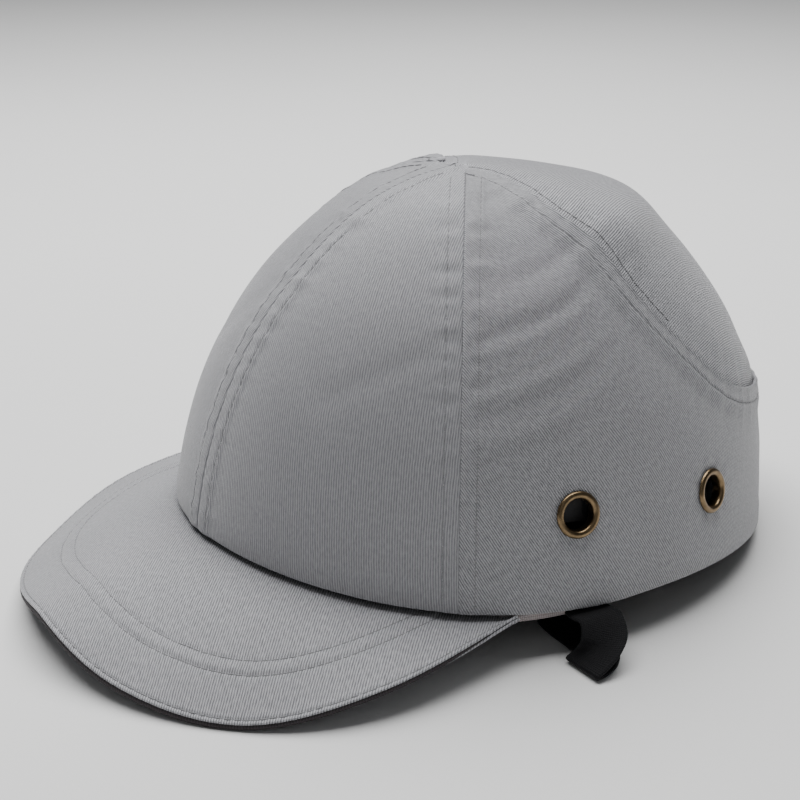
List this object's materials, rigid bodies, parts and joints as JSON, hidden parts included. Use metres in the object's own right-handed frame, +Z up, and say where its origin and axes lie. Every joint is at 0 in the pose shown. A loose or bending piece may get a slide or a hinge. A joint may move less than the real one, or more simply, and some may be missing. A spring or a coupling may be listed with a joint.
{
  "type": "bump cap",
  "caption": "Baseball-style bump cap: panelled cotton cover with brim and vent eyelets over a removable padded impact shell with a chin strap.",
  "frame": {"origin": "on the ground, under the middle of the cap's bounding box", "axes": "+Z up; the wearer faces -Y, so the brim points to -Y; +X is the wearer's left"},
  "size_m": [0.2144, 0.271, 0.1349],
  "materials": {
    "cotton": "light grey cotton twill",
    "cotton_under": "dark grey cotton lining",
    "board": "satin",
    "towelling": "brushed",
    "tape": "woven",
    "brass": "antique",
    "shell": "fine texture",
    "foam": "matte foam",
    "webbing": "woven",
    "slider": "satin"
  },
  "bodies": {
    "cap": {"front_panel_left": "cotton", "front_panel_right": "cotton", "side_panel_left": "cotton", "side_panel_right": "cotton", "rear_top_panel": "cotton", "brim_top_cover": "cotton", "brim_board": "board", "brim_under_cover": "cotton_under", "sweatband": "towelling", "rear_elastic": "tape", "centre_seam_tape": "tape", "side_seam_tape_left": "tape", "side_seam_tape_right": "tape", "loop_patch_left": "tape", "loop_patch_right": "tape", "eyelet_front_left": "brass", "eyelet_washer_front_left": "brass", "eyelet_front_right": "brass", "eyelet_washer_front_right": "brass", "eyelet_rear_left": "brass", "eyelet_washer_rear_left": "brass", "eyelet_rear_right": "brass", "eyelet_washer_rear_right": "brass"},
    "insert": {"impact_shell": "shell", "crown_pad": "foam", "brow_pad": "foam", "rear_pad": "foam", "side_pad_left": "foam", "side_pad_right": "foam", "hook_patch_left": "tape", "hook_patch_right": "tape", "strap_anchor_left": "shell", "strap_anchor_right": "shell", "strap_tail_left": "webbing", "strap_tail_right": "webbing"},
    "chin_strap": {"chin_strap": "webbing"},
    "strap_slider": {"strap_slider": "slider"}
  },
  "joints": [
    {"name": "insert_slide", "type": "slide", "parent": "cap", "child": "insert", "axis": [0, 0, -1], "range_m": [0, 0.15]},
    {"name": "strap_swing", "type": "hinge", "parent": "insert", "child": "chin_strap", "pos_m": [0, 0.01162, 0.0008], "axis": [1, 0, 0], "range_deg": [0, 90]},
    {"name": "slider_slide", "type": "slide", "parent": "chin_strap", "child": "strap_slider", "axis": [1, 0, 0], "range_m": [-0.008, 0.008]}
  ]
}
